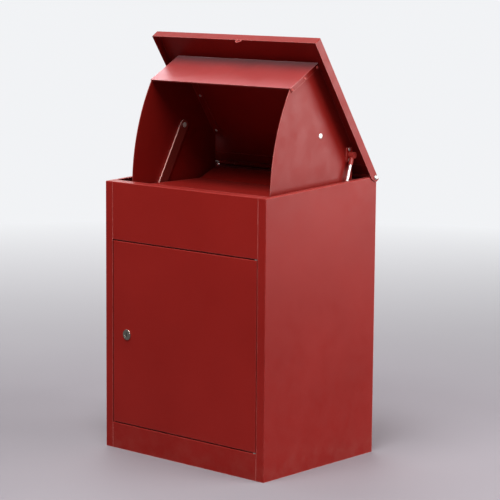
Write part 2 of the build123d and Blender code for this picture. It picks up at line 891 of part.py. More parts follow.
socket(ball_y, ball_z, 0, strut_socket_reach, "strut_upper_socket", -1)
socket(foot_y, foot_z, strut_length, -strut_socket_reach, "strut_lower_socket", 1)

with BuildPart() as strut_rod:
    round_bar(strut_socket_reach, tube_top + strut_rod_inside, strut_rod_size / 2)
save(strut_rod.part, "strut_rod")

with BuildPart() as strut_cylinder:
    round_bar(tube_top, tube_bottom, strut_tube / 2)
    rolled_ends = strut_cylinder.edges().filter_by(GeomType.CIRCLE)
    fillet(rolled_ends, strut_tube_wall)
    with BuildSketch(strut_plane(tube_top)):
        Circle(tube_bore)
    extrude(amount=strut_tube_length - 2 * strut_tube_wall, mode=Mode.SUBTRACT)
save(strut_cylinder.part, "strut_cylinder")

with BuildPart() as strut_gland:
    round_bar(tube_top, tube_top + gland_length, tube_bore)
    with BuildSketch(strut_plane(tube_top)):
        Circle(strut_rod_size / 2 + running_clearance)
    extrude(amount=gland_length, mode=Mode.SUBTRACT)
save(strut_gland.part, "strut_gland")


def bracket(face, outward, y, z, name):
    """Small doubler plate that carries a strut stud, held by two rivets."""
    with BuildPart() as plate:
        with BuildSketch(side_plane(face)):
            with Locations((y, z)):
                RectangleRounded(bracket_width, bracket_length, bracket_round)
                Circle(strut_pin / 2, mode=Mode.SUBTRACT)
            with Locations((y, z - bracket_rivets / 2), (y, z + bracket_rivets / 2)):
                Circle(rivet / 2, mode=Mode.SUBTRACT)
        extrude(amount=outward * bracket_sheet)
    save(plate.part, name)


bracket(hopper_outer, 1, ball_y, ball_z, "strut_upper_bracket")
bracket(inner_x, -1, foot_y, foot_z, "strut_lower_bracket")


def bracket_rivet_pair(face, outward, y, z, name):
    """The two rivets of a strut bracket, their heads on the bracket."""
    with BuildPart() as pair:
        for place in (z - bracket_rivets / 2, z + bracket_rivets / 2):
            with BuildSketch(side_plane(face)):
                with Locations((y, place)):
                    Circle(rivet / 2)
            extrude(amount=outward * bracket_sheet)
            with BuildSketch(side_plane(face + outward * bracket_sheet)):
                with Locations((y, place)):
                    Circle(rivet_head / 2)
            extrude(amount=outward * rivet_head_height, taper=rivet_head_taper)
    save(pair.part, name)


bracket_rivet_pair(hopper_outer, 1, ball_y, ball_z, "strut_upper_bracket_rivets")
bracket_rivet_pair(inner_x, -1, foot_y, foot_z, "strut_lower_bracket_rivets")

upper_pin_end = strut_x - strut_socket_half + strut_pocket - strut_pocket_gap
with BuildPart() as strut_upper_stud:
    with BuildSketch(side_plane(hopper_outer)):
        with Locations((ball_y, ball_z)):
            Circle(strut_pin / 2)
    extrude(amount=upper_pin_end - hopper_outer)
save(strut_upper_stud.part, "strut_upper_stud")

lower_pin_end = strut_x + strut_socket_half + strut_pin_gap
with BuildPart() as strut_lower_stud:
    with BuildSketch(side_plane(inner_x)):
        with Locations((foot_y, foot_z)):
            Circle(strut_pin / 2)
    extrude(amount=lower_pin_end - inner_x)
    with BuildSketch(side_plane(inner_x - bracket_sheet)):
        with Locations((foot_y, foot_z)):
            RegularPolygon(stud_hex / 2, 6, major_radius=False)
    extrude(amount=-stud_hex_height)
save(strut_lower_stud.part, "strut_lower_stud")

# ---------------------------------------------------------------- door
door_half = stile_x - door_gap
door_bottom = opening_bottom + door_gap
door_top = opening_top - door_gap
lock_x = -door_half + lock_backset
door_pin_bore = door_pin / 2 + running_clearance


def lock_plane(at):
    """Plane across the lock at a distance behind the door's front face."""
    return Plane(origin=(lock_x, front_y + at, lock_height), x_dir=(1, 0, 0), z_dir=(0, 1, 0))


with BuildPart() as door_panel:
    block((-door_half, door_half), (front_y, front_y + door_depth), (door_bottom, door_top))
    face_edges = door_panel.faces().sort_by(Axis.Y)[0].edges()
    fillet(face_edges, bend)
    slot_out(
        (-door_half + sheet, door_half - sheet),
        (front_y + sheet, front_y + door_depth),
        (door_bottom + sheet, door_top - sheet),
    )
    with BuildSketch(lock_plane(0)):
        Circle(lock_barrel / 2)
    extrude(amount=sheet, mode=Mode.SUBTRACT)
    with BuildSketch(Plane(origin=(door_axis_x, door_axis_y, door_bottom), z_dir=(0, 0, 1))):
        Circle(door_pin_bore)
    extrude(amount=door_top - door_bottom, mode=Mode.SUBTRACT)
save(door_panel.part, "door_panel")

with BuildPart() as door_pivot_pins:
    for hole, into in ((opening_bottom, 1), (opening_top, -1)):
        under = hole - into * sheet
        with BuildSketch(Plane(origin=(door_axis_x, door_axis_y, under), z_dir=(0, 0, 1))):
            Circle(door_pin / 2)
        extrude(amount=into * (2 * sheet + door_gap + door_pin_reach))
save(door_pivot_pins.part, "door_pivot_pins")

with BuildPart() as door_pivot_washers:
    for hole, into in ((opening_bottom, 1), (opening_top, -1)):
        with BuildSketch(Plane(origin=(door_axis_x, door_axis_y, hole), z_dir=(0, 0, 1))):
            Circle(door_washer / 2)
            Circle(door_pin_bore, mode=Mode.SUBTRACT)
        extrude(amount=into * door_washer_height)
save(door_pivot_washers.part, "door_pivot_washers")

# ---------------------------------------------------------------- cam lock
plug_bore = lock_plug / 2 + running_clearance
cam_start = lock_barrel_depth + cam_gap
cam_end = cam_start + cam_sheet


def lock_disc(start, stop, radius, mode=Mode.ADD):
    """A disc on the lock's centre line between two depths behind the door's face."""
    with BuildSketch(lock_plane(start)) as disc:
        Circle(radius)
    extrude(disc.sketch, amount=stop - start, mode=mode)


with BuildPart() as lock_body:
    lock_disc(-lock_head_height, 0, lock_head / 2)
    rim_edges = lock_body.edges().sort_by(Axis.Y)[:1]
    chamfer(rim_edges, lock_head_bevel)
    lock_disc(0, lock_barrel_depth, lock_barrel / 2)
    lock_disc(-lock_head_height, lock_barrel_depth, plug_bore, Mode.SUBTRACT)
save(lock_body.part, "lock_body")

with BuildPart() as lock_nut_ring:
    with BuildSketch(lock_plane(sheet)):
        RegularPolygon(lock_nut / 2, 6, major_radius=False)
        Circle(lock_barrel / 2, mode=Mode.SUBTRACT)
    extrude(amount=lock_nut_height)
save(lock_nut_ring.part, "lock_nut")

with BuildPart() as lock_plug_part:
    lock_disc(lock_plug_recess - lock_head_height, lock_barrel_depth, lock_plug / 2)
    with BuildSketch(lock_plane(lock_barrel_depth)):
        Rectangle(plug_square, plug_square)
    extrude(amount=cam_end - lock_barrel_depth)
    with BuildSketch(lock_plane(lock_plug_recess - lock_head_height)):
        Rectangle(key_slot_width, key_slot_length)
    extrude(amount=key_slot_depth, mode=Mode.SUBTRACT)
save(lock_plug_part.part, "lock_plug")

with BuildPart() as lock_cam:
    with BuildSketch(lock_plane(cam_start)):
        Circle(cam_width / 2)
        with Locations((0, -cam_length / 2 + cam_width / 4)):
            Rectangle(cam_width, cam_length - cam_width / 2)
        with Locations((0, -cam_length + cam_width / 2)):
            Circle(cam_width / 2)
        Rectangle(plug_square, plug_square, mode=Mode.SUBTRACT)
    extrude(amount=cam_sheet)
save(lock_cam.part, "lock_cam")

with BuildPart() as cam_screw:
    lock_disc(cam_end, cam_end + cam_screw_head_height, cam_screw_head / 2)
    crown = cam_screw.edges().sort_by(Axis.Y)[-1]
    fillet(crown, cam_screw_crown)
save(cam_screw.part, "lock_cam_screw")
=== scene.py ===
"""Steel book drop box with its lid raised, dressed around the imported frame."""
import json
import math

import bmesh
import bpy
from mathutils import Matrix, Vector


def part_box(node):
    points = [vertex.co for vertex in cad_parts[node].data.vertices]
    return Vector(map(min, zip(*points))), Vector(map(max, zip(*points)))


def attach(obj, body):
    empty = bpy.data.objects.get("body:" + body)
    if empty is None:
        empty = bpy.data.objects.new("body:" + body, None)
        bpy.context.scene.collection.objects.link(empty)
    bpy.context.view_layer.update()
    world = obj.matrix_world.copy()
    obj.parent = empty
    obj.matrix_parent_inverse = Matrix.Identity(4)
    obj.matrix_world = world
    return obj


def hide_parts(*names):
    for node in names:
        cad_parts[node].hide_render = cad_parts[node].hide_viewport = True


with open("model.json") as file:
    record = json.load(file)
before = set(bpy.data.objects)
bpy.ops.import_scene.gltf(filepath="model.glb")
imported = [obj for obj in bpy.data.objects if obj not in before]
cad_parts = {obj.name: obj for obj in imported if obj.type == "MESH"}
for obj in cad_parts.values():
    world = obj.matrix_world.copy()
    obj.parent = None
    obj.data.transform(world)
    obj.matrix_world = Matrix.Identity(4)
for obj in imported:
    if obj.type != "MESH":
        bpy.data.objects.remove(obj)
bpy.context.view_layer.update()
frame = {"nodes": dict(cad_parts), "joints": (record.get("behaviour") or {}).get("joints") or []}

# ------------------------------------------------------------------ camera
# A long lens at standing distance, a little above the box, turned to show the door and
# the right-hand side. It leans by half a degree.
camera_place = Vector((2.6678, -2.9716, 1.0121))
camera_aim = Vector((0.1800, -0.1710, 0.4571))
camera_roll = math.radians(0.454)
camera_data = bpy.data.cameras.new("camera")
camera_data.lens = 140.77
camera_data.sensor_width = 36.0
camera = bpy.data.objects.new("camera", camera_data)
bpy.context.scene.collection.objects.link(camera)
camera_back = (camera_place - camera_aim).normalized()
camera_right = Vector((0, 0, 1)).cross(camera_back).normalized()
camera_up = camera_back.cross(camera_right)
leaned_right = math.cos(camera_roll) * camera_right + math.sin(camera_roll) * camera_up
leaned_up = math.cos(camera_roll) * camera_up - math.sin(camera_roll) * camera_right
camera_axes = Matrix((leaned_right, leaned_up, camera_back)).transposed().to_4x4()
camera.matrix_world = Matrix.Translation(camera_place) @ camera_axes
bpy.context.scene.camera = camera

# ------------------------------------------------------------------ studio
# A pale sky and soft square lights: one overhead, four round the right side and the back,
# and three that reach only some pieces, as a flagged lamp does. Colours are shown as they
# are, with no film curve.
bpy.context.scene.view_settings.view_transform = "Standard"
bpy.context.scene.view_settings.look = "Medium High Contrast"
pale_tone, pale_strength = (0.93, 0.94, 0.96, 1), 0.8
sky_tone, sky_strength = (0.92, 0.95, 1.0, 1), 0.12
world = bpy.data.worlds.new("studio")
bpy.context.scene.world = world
world.use_nodes = True
sky_nodes = world.node_tree.nodes
sky_links = world.node_tree.links
sky_light = sky_nodes["Background"]
sky_light.inputs["Color"].default_value = sky_tone
sky_light.inputs["Strength"].default_value = sky_strength
sky_seen = sky_nodes.new("ShaderNodeBackground")
sky_seen.inputs["Color"].default_value = pale_tone
sky_seen.inputs["Strength"].default_value = pale_strength
ray_kind = sky_nodes.new("ShaderNodeLightPath")
sky_mix = sky_nodes.new("ShaderNodeMixShader")
sky_links.new(ray_kind.outputs["Is Camera Ray"], sky_mix.inputs["Fac"])
sky_links.new(sky_light.outputs["Background"], sky_mix.inputs[1])
sky_links.new(sky_seen.outputs["Background"], sky_mix.inputs[2])
sky_links.new(sky_mix.outputs["Shader"], sky_nodes["World Output"].inputs["Surface"])


def soft_light(name, place, aim, size, watts, reaches=()):
    """A broad square light that points at a place and may reach only some pieces."""
    data = bpy.data.lights.new(name, "AREA")
    data.size = size
    data.energy = watts
    light = bpy.data.objects.new(name, data)
    bpy.context.scene.collection.objects.link(light)
    light.location = place
    light.rotation_euler = (Vector(aim) - Vector(place)).to_track_quat("-Z", "Y").to_euler()
    light.visible_camera = False
    if reaches:
        reached = bpy.data.collections.new(name + "_reaches")
        for piece in reaches:
            reached.objects.link(frame["nodes"][piece])
        light.light_linking.receiver_collection = reached
    return light


soft_light("overhead_light", place=(0.3, -1.1, 2.8), aim=(0.0, -0.1, 0.5), size=1.4, watts=55)
soft_light("right_light", place=(1.4, 0.3, 1.1), aim=(0.2, 0.0, 0.45), size=0.8, watts=10)
soft_light("right_back_light", place=(2.5, 2.7, 0.9), aim=(0.2, 0.0, 0.5), size=1.4, watts=47)
soft_light("left_back_light", place=(-2.4, 0.7, 3.2), aim=(0.0, -0.1, 0.8), size=3.6, watts=45)
soft_light("horizon_light", place=(-2.4, 2.5, 1.2), aim=(0.0, 0.0, 0.6), size=2.0, watts=16)

front_pieces = ["front_top_panel", "front_bottom_rail", "door_panel"]
front_pieces += ["left_side_panel", "right_side_panel"]
soft_light(
    "front_light",
    place=(0.9, -3.2, 2.1),
    aim=(0.0, 0.0, 0.5),
    size=1.8,
    watts=33,
    reaches=front_pieces,
)

# The hood's light passes the raised lid, which would otherwise stand in its way.
hood_light = soft_light(
    "hood_light",
    place=(-2.3, 1.1, 3.0),
    aim=(0.0, 0.0, 0.79),
    size=2.6,
    watts=108,
    reaches=["hood_plate"],
)
hood_light.data.color = (0.96, 0.92, 1.0)
hood_light.light_linking.blocker_collection = hood_light.light_linking.receiver_collection

# Small bright pieces catch a lamp of their own; the fastener sets join them when made.
small_names = ["strut_rod", "strut_upper_socket", "strut_upper_stud", "strut_upper_bracket"]
small_names += ["strut_gland", "left_link_arm", "lid_hinge_rod", "flap_hinge_rod", "lock_plug"]
small_light = soft_light(
    "small_piece_light",
    place=(2.4, -1.9, 1.5),
    aim=(0.2, 0.0, 0.7),
    size=0.9,
    watts=34,
    reaches=small_names,
)
small_pieces = small_light.light_linking.receiver_collection

# ------------------------------------------------------------------ pale floor
# Smooth ground that the box stands on. It fades into an even white distance, a second
# sheet just above it that is seen but throws no light, shadow or reflection.


def node(tree, kind, **sockets):
    """A shader node with its constant sockets set by name."""
    new = tree.nodes.new(kind)
    for socket, value in sockets.items():
        new.inputs[socket.replace("_", " ")].default_value = value
    return new


def maths(tree, operation, first, second=0.5):
    """One sum of two values, either of which may be a socket."""
    new = tree.nodes.new("ShaderNodeMath")
    new.operation = operation
    for index, value in enumerate((first, second)):
        if isinstance(value, (int, float)):
            new.inputs[index].default_value = value
        else:
            tree.links.new(value, new.inputs[index])
    return new.outputs["Value"]


def blend_colour(tree, share, first, second):
    """A colour between two, each a socket or a plain colour."""
    new = tree.nodes.new("ShaderNodeMix")
    new.data_type = "RGBA"
    tree.links.new(share, new.inputs["Factor"])
    for socket, value in ((new.inputs[6], first), (new.inputs[7], second)):
        if isinstance(value, tuple):
            socket.default_value = (*value, 1)
        else:
            tree.links.new(value, socket)
    return new.outputs[2]


def grain(tree, place, scale, detail=2.0, roughness=0.5):
    """Noise on the piece's own coordinates, in waves per metre."""
    new = node(tree, "ShaderNodeTexNoise", Scale=scale, Detail=detail, Roughness=roughness)
    tree.links.new(place, new.inputs["Vector"])
    return new.outputs["Fac"]


def span(tree, value, low, high, to_low, to_high):
    """A value carried from one range to another, held at the ends."""
    new = tree.nodes.new("ShaderNodeMapRange")
    tree.links.new(value, new.inputs["Value"])
    ends = {"From Min": low, "From Max": high, "To Min": to_low, "To Max": to_high}
    for socket, number in ends.items():
        new.inputs[socket].default_value = number
    return new.outputs["Result"]


def finish_named(name):
    """A new material with its tree, its shader and the piece's own coordinates."""
    material = bpy.data.materials.new(name)
    material.use_nodes = True
    tree = material.node_tree
    place = tree.nodes.new("ShaderNodeTexCoord").outputs["Object"]
    return material, tree, tree.nodes["Principled BSDF"], place


floor_half_width = 14.0
floor_mesh = bpy.data.meshes.new("floor")
floor_shape = bmesh.new()
bmesh.ops.create_grid(floor_shape, x_segments=1, y_segments=1, size=floor_half_width)
floor_shape.to_mesh(floor_mesh)
floor_shape.free()
floor = bpy.data.objects.new("floor", floor_mesh)
bpy.context.scene.collection.objects.link(floor)
floor.visible_glossy = False
floor_paint, tree, shader, place = finish_named("pale_floor")
floor_dark, floor_light, floor_waves = (0.36, 0.33, 0.36), (0.40, 0.37, 0.40), 1.4
floor_tone = blend_colour(tree, grain(tree, place, floor_waves, 4), floor_dark, floor_light)
tree.links.new(floor_tone, shader.inputs["Base Color"])
shader.inputs["Roughness"].default_value = 0.75
floor_mesh.materials.append(floor_paint)

distance_lift = 0.001
fade_starts, fade_ends = 0.7, 3.6
distance = floor.copy()
distance.data = floor_mesh.copy()
distance.name = "pale_distance"
distance.location.z = distance_lift
distance.visible_diffuse = False
distance.visible_glossy = False
distance.visible_shadow = False
bpy.context.scene.collection.objects.link(distance)
haze, tree, shader, place = finish_named("pale_distance")
reach = tree.nodes.new("ShaderNodeVectorMath")
reach.operation = "LENGTH"
tree.links.new(place, reach.inputs[0])
shader.inputs["Base Color"].default_value = (0, 0, 0, 1)
shader.inputs["Specular IOR Level"].default_value = 0.0
shader.inputs["Emission Color"].default_value = pale_tone
shader.inputs["Emission Strength"].default_value = pale_strength
fade = span(tree, reach.outputs["Value"], fade_starts, fade_ends, 0.0, 1.0)
tree.links.new(fade, shader.inputs["Alpha"])
distance.data.materials.clear()
distance.data.materials.append(haze)

# ------------------------------------------------------------------ painted sheet
# Folded steel sheet with a baked-on red powder coat: a satin skin with a fine orange
# peel. Its folds are painted paler, partly for a thinner coat and partly as a painted
# highlight, and it is a little dusty where it meets the ground.
coat_deep = (0.290, 0.0150, 0.0100)
coat_light = (0.350, 0.0220, 0.0160)
# The pale fold colour stands partly for a thinner coat and partly for a painted highlight.
thin_coat_and_fold_highlight = (0.600, 0.2100, 0.1900)
coat_dust = (0.430, 0.2100, 0.1700)
cloud_waves, speck_waves, wear_and_highlight_waves, dust_waves = 5.0, 1500.0, 60.0, 28.0
gloss_waves, peel_waves, ripple_waves = 35.0, 520.0, 9.0
cloud_share, speck_share = 0.6, 0.4
fold_reach, dust_height, most_dust = 0.0026, 0.075, 0.16
coat_smoothest, coat_roughest, fold_roughness = 0.36, 0.46, 0.08
red_coat, tree, shader, place = finish_named("red_powder_coat")

cloud = span(tree, grain(tree, place, cloud_waves, 3), 0.3, 0.7, 0.0, 1.0)
speck = span(tree, grain(tree, place, speck_waves, 1), 0.35, 0.65, 0.0, 1.0)
cloud_part = maths(tree, "MULTIPLY", cloud, cloud_share)
tone = maths(tree, "ADD", cloud_part, maths(tree, "MULTIPLY", speck, speck_share))
colour = blend_colour(tree, tone, coat_deep, coat_light)

# A fold is where the rounded normal turns away from the flat one. The folds are painted
# paler in patches, partly for a thinner coat and partly as a painted highlight.
fold = node(tree, "ShaderNodeBevel", Radius=fold_reach)
flat = tree.nodes.new("ShaderNodeNewGeometry")
turn = tree.nodes.new("ShaderNodeVectorMath")
turn.operation = "DOT_PRODUCT"
tree.links.new(fold.outputs["Normal"], turn.inputs[0])
tree.links.new(flat.outputs["Normal"], turn.inputs[1])
fold_highlight_mask = span(tree, turn.outputs["Value"], 0.95, 0.82, 0.0, 1.0)
wear_and_highlight_patches = span(tree, grain(tree, place, wear_and_highlight_waves, 4), 0.30, 0.62, 0.45, 1.0)
# Painted highlight and thin coat: the folds blend towards the pale fold colour.
colour = blend_colour(tree, maths(tree, "MULTIPLY", fold_highlight_mask, wear_and_highlight_patches), colour, thin_coat_and_fold_highlight)

height_of = tree.nodes.new("ShaderNodeSeparateXYZ")
tree.links.new(place, height_of.inputs[0])
low_down = span(tree, height_of.outputs["Z"], dust_height, 0.0, 0.0, most_dust)
patchy = span(tree, grain(tree, place, dust_waves, 5, 0.65), 0.42, 0.72, 0.0, 1.0)
colour = blend_colour(tree, maths(tree, "MULTIPLY", low_down, patchy), colour, coat_dust)
tree.links.new(colour, shader.inputs["Base Color"])

gloss = grain(tree, place, gloss_waves, 4)
gloss = span(tree, gloss, 0.3, 0.7, coat_smoothest, coat_roughest)
rough = maths(tree, "ADD", gloss, maths(tree, "MULTIPLY", fold_highlight_mask, fold_roughness))
tree.links.new(rough, shader.inputs["Roughness"])
shader.inputs["Specular IOR Level"].default_value = 0.32
shader.inputs["Sheen Weight"].default_value = 0.08
shader.inputs["Sheen Roughness"].default_value = 0.35

peel_bump = node(tree, "ShaderNodeBump", Strength=0.20, Distance=0.00012)
tree.links.new(grain(tree, place, peel_waves, 2), peel_bump.inputs["Height"])
ripple_bump = node(tree, "ShaderNodeBump", Strength=0.25, Distance=0.0012)
tree.links.new(grain(tree, place, ripple_waves, 1), ripple_bump.inputs["Height"])
tree.links.new(peel_bump.outputs["Normal"], ripple_bump.inputs["Normal"])
tree.links.new(ripple_bump.outputs["Normal"], shader.inputs["Normal"])


def dress(material, *names):
    """Give these pieces of the frame one finish."""
    for name in names:
        piece = frame["nodes"][name]
        piece.data.materials.clear()
        piece.data.materials.append(material)


dress(red_coat, "left_side_panel", "right_side_panel", "back_panel", "front_top_panel")
dress(red_coat, "front_bottom_rail", "floor_tray", "rear_shelf", "floor_flap", "door_panel")
dress(red_coat, "lid_panel", "padlock_eye", "left_hopper_plate", "right_hopper_plate", "hood_plate")
dress(red_coat, "cabinet_hinge_leaf", "lid_hinge_leaf")

# ------------------------------------------------------------------ screws, rivets and pins
# Pan-head screws with a cross recess hold the hood's side flanges, domed rivets the hopper
# and the strut's brackets, and headed pins the link arms. All are bright zinc-plated steel,
# but the hood's screws went through the oven with the rest and are red.


def two_tone(name, tones, tone_grain, metallic, roughness, rough_grain=(300.0, 2)):
    """A finish that wanders between two tones and two roughnesses, each on its own grain."""
    material, tree, shader, place = finish_named(name)
    shine = blend_colour(tree, grain(tree, place, *tone_grain), *tones)
    tree.links.new(shine, shader.inputs["Base Color"])
    shader.inputs["Metallic"].default_value = metallic
    rough = span(tree, grain(tree, place, *rough_grain), 0.3, 0.7, *roughness)
    tree.links.new(rough, shader.inputs["Roughness"])
    return material, tree, shader, shine


zinc_tones = (0.62, 0.62, 0.58), (0.84, 0.84, 0.81)
zinc_plate = two_tone("zinc_plate", zinc_tones, (260.0, 3), 0.7, (0.22, 0.40), (700.0, 2))[0]

heads = bpy.data.node_groups.new("headed_fastener", "GeometryNodeTree")
heads.interface.new_socket("Places", in_out="INPUT", socket_type="NodeSocketGeometry")
size_labels = ["Head width", "Head height", "Shank width", "Shank length"]
size_labels += ["Recess length", "Recess width"]
for label in size_labels:
    heads.interface.new_socket(label, in_out="INPUT", socket_type="NodeSocketFloat")
heads.interface.new_socket("Finish", in_out="INPUT", socket_type="NodeSocketMaterial")
heads.interface.new_socket("Fasteners", in_out="OUTPUT", socket_type="NodeSocketGeometry")
given = heads.nodes.new("NodeGroupInput").outputs

# A flat grid is wrapped into one fastener: its X goes round, and its Y runs from the top
# of the dome out to the rim, in under the head, down the shank and across its end.
round_steps = 48
profile_steps = 20
dome_end, seat_end, shank_end = 0.5, 0.6, 0.9
sheet_grid = heads.nodes.new("GeometryNodeMeshGrid")
sheet_grid.inputs["Vertices X"].default_value = round_steps + 1
sheet_grid.inputs["Vertices Y"].default_value = profile_steps + 1
grid_place = heads.nodes.new("GeometryNodeInputPosition").outputs["Position"]
apart = heads.nodes.new("ShaderNodeSeparateXYZ")
heads.links.new(grid_place, apart.inputs[0])
around = maths(heads, "MULTIPLY", apart.outputs["X"], 2 * math.pi)
along = maths(heads, "ADD", apart.outputs["Y"], 0.5)
dome = span(heads, along, 0.0, dome_end, 0.0, math.pi / 2)
seat = span(heads, along, dome_end, seat_end, 0.0, 1.0)
stem = span(heads, along, seat_end, shank_end, 0.0, 1.0)
end = span(heads, along, shank_end, 1.0, 1.0, 0.0)
head_radius = maths(heads, "MULTIPLY", given["Head width"], 0.5)
shank_radius = maths(heads, "MULTIPLY", given["Shank width"], 0.5)
step_in = maths(heads, "MULTIPLY", maths(heads, "SUBTRACT", head_radius, shank_radius), seat)
radius = maths(heads, "MULTIPLY", head_radius, maths(heads, "SINE", dome))
radius = maths(heads, "MULTIPLY", maths(heads, "SUBTRACT", radius, step_in), end)
height = maths(heads, "MULTIPLY", given["Head height"], maths(heads, "COSINE", dome))
height = maths(heads, "SUBTRACT", height, maths(heads, "MULTIPLY", given["Shank length"], stem))
across = maths(heads, "MULTIPLY", radius, maths(heads, "COSINE", around))
upright = maths(heads, "MULTIPLY", radius, maths(heads, "SINE", around))

# The cross recess lowers the dome within its two arms, with sloped sides and ends.
recess_depth, rim_margin = 0.55, 0.05
wide, tall = maths(heads, "ABSOLUTE", across), maths(heads, "ABSOLUTE", upright)
from_line = maths(heads, "DIVIDE", maths(heads, "MINIMUM", wide, tall), given["Recess width"])
from_middle = maths(heads, "DIVIDE", maths(heads, "MAXIMUM", wide, tall), given["Recess length"])
in_side = span(heads, from_line, 0.4, 0.6, 1, 0)
in_end = span(heads, from_middle, 0.42, 0.5, 1, 0)
on_dome = span(heads, along, dome_end - rim_margin, dome_end, 1, 0)
in_recess = maths(heads, "MULTIPLY", maths(heads, "MULTIPLY", in_side, in_end), on_dome)
sunk = maths(heads, "MULTIPLY", in_recess, recess_depth)
height = maths(heads, "MULTIPLY", height, maths(heads, "SUBTRACT", 1.0, sunk))
together = heads.nodes.new("ShaderNodeCombineXYZ")
for socket, value in zip(together.inputs, (across, upright, height)):
    heads.links.new(value, socket)
shape = heads.nodes.new("GeometryNodeSetPosition")
heads.links.new(sheet_grid.outputs["Mesh"], shape.inputs["Geometry"])
heads.links.new(together.outputs["Vector"], shape.inputs["Position"])
weld = heads.nodes.new("GeometryNodeMergeByDistance")
weld.inputs["Distance"].default_value = 1e-6
heads.links.new(shape.outputs["Geometry"], weld.inputs["Geometry"])

# One stands at each place, turned to face the way that the place's "aim" says.
aim = heads.nodes.new("GeometryNodeInputNamedAttribute")
aim.data_type = "FLOAT_VECTOR"
aim.inputs["Name"].default_value = "aim"
swing = heads.nodes.new("FunctionNodeAlignRotationToVector")
swing.axis = "Z"
heads.links.new(aim.outputs["Attribute"], swing.inputs["Vector"])
each = heads.nodes.new("GeometryNodeInstanceOnPoints")
heads.links.new(given["Places"], each.inputs["Points"])
heads.links.new(weld.outputs["Geometry"], each.inputs["Instance"])
heads.links.new(swing.outputs["Rotation"], each.inputs["Rotation"])
real = heads.nodes.new("GeometryNodeRealizeInstances")
heads.links.new(each.outputs["Instances"], real.inputs["Geometry"])
painted = heads.nodes.new("GeometryNodeSetMaterial")
heads.links.new(real.outputs["Geometry"], painted.inputs["Geometry"])
heads.links.new(given["Finish"], painted.inputs["Material"])
result = heads.nodes.new("NodeGroupOutput")
heads.links.new(painted.outputs["Geometry"], result.inputs["Fasteners"])


def tidy_mesh(mesh, smooth_below=40.0):
    """Merge doubles, turn every face outwards and shade soft where faces nearly meet flush."""
    shape = bmesh.new()
    shape.from_mesh(mesh)
    bmesh.ops.remove_doubles(shape, verts=shape.verts, dist=1e-6)
    bmesh.ops.recalc_face_normals(shape, faces=shape.faces)
    for face in shape.faces:
        face.smooth = True
    for rim in shape.edges:
        rim.smooth = rim.is_manifold and rim.calc_face_angle(0.0) < math.radians(smooth_below)
    shape.to_mesh(mesh)
    shape.free()


def fasteners(name, body, replaced, finish, sizes, places):
    """One set of like fasteners, from a list of (place, direction it faces) on one body."""
    mesh = bpy.data.meshes.new(name)
    mesh.from_pydata([spot for spot, _ in places], [], [])
    facing = mesh.attributes.new("aim", "FLOAT_VECTOR", "POINT")
    for index, (_, way) in enumerate(places):
        facing.data[index].vector = way
    piece = bpy.data.objects.new(name, mesh)
    bpy.context.scene.collection.objects.link(piece)
    maker = piece.modifiers.new("fasteners", "NODES")
    maker.node_group = heads
    for item in heads.interface.items_tree:
        if item.item_type == "SOCKET" and item.in_out == "INPUT":
            if item.name == "Finish":
                maker[item.identifier] = finish
            elif item.name in sizes:
                maker[item.identifier] = sizes[item.name]
    bpy.context.view_layer.update()
    made = piece.evaluated_get(bpy.context.evaluated_depsgraph_get())
    piece.data = bpy.data.meshes.new_from_object(made)
    piece.data.name = name
    piece.modifiers.clear()
    tidy_mesh(piece.data)
    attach(piece, body)
    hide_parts(replaced)
    small_pieces.objects.link(piece)
    return piece


def sizes_of(head, rise, shank, grip, recess_length=0.0, recess_width=1.0):
    """Head width and height, shank width and length, by the names the tree gives them."""
    return dict(zip(size_labels, (head, rise, shank, grip, recess_length, recess_width)))


lid_hinge = next(joint for joint in frame["joints"] if joint["name"] == "lid_hinge")
_, lid_axis_y, lid_axis_z = lid_hinge["pos_m"]
lid_rise = math.radians(56.48721)
lid_skin = 0.005
sheet = 0.0015
plate_outside = 0.1896
plate_inside = plate_outside - sheet


def on_lid(x, along, above):
    """A place on the raised lid: metres towards its front edge and out of its top."""
    y = lid_axis_y - along * math.cos(lid_rise) + above * math.sin(lid_rise)
    z = lid_axis_z + along * math.sin(lid_rise) + above * math.cos(lid_rise)
    return x, y, z


# Three rivets along each side hold the hopper plates' flanges under the lid.
rivet_head, rivet_rise, rivet_shank = 0.0070, 0.0016, 0.0032
hopper_rivet_grip, bracket_rivet_grip = 0.0031, 0.0020
rivet_from_plate = 0.008
rivet_rows = (0.086, 0.178, 0.258)
rivet_x = plate_inside - rivet_from_plate
lid_down = (0.0, -math.sin(lid_rise), -math.cos(lid_rise))
rivet_spots = []
for side in (-1, 1):
    for along in rivet_rows:
        rivet_spots.append((on_lid(side * rivet_x, along, lid_skin - sheet), lid_down))
rivet_sizes = sizes_of(rivet_head, rivet_rise, rivet_shank, hopper_rivet_grip)
fasteners("hopper_rivet_set", "lid", "hopper_rivets", zinc_plate, rivet_sizes, rivet_spots)


def box_centre(name):
    """The middle of a frame piece's box at rest."""
    low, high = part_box(name)
    return [(a + b) / 2 for a, b in zip(low, high)]


# Two rivets hold each of the strut's brackets, one above and one below its stud.
bracket_sheet = 0.002
bracket_reach = 0.0105
wall_inside = 0.2185
bracket_rivets = sizes_of(rivet_head, rivet_rise, rivet_shank, bracket_rivet_grip)
bracket_faces = {
    "upper": ("lid", plate_outside + bracket_sheet, 1),
    "lower": ("cabinet", wall_inside - bracket_sheet, -1),
}
for end_name, (body, face_x, faces) in bracket_faces.items():
    _, middle_y, middle_z = box_centre("strut_" + end_name + "_bracket")
    spots = []
    for reach in (-bracket_reach, bracket_reach):
        spots.append(((face_x, middle_y, middle_z + reach), (faces, 0, 0)))
    set_name = "strut_" + end_name + "_rivet_set"
    replaced = "strut_" + end_name + "_bracket_rivets"
    fasteners(set_name, body, replaced, zinc_plate, bracket_rivets, spots)

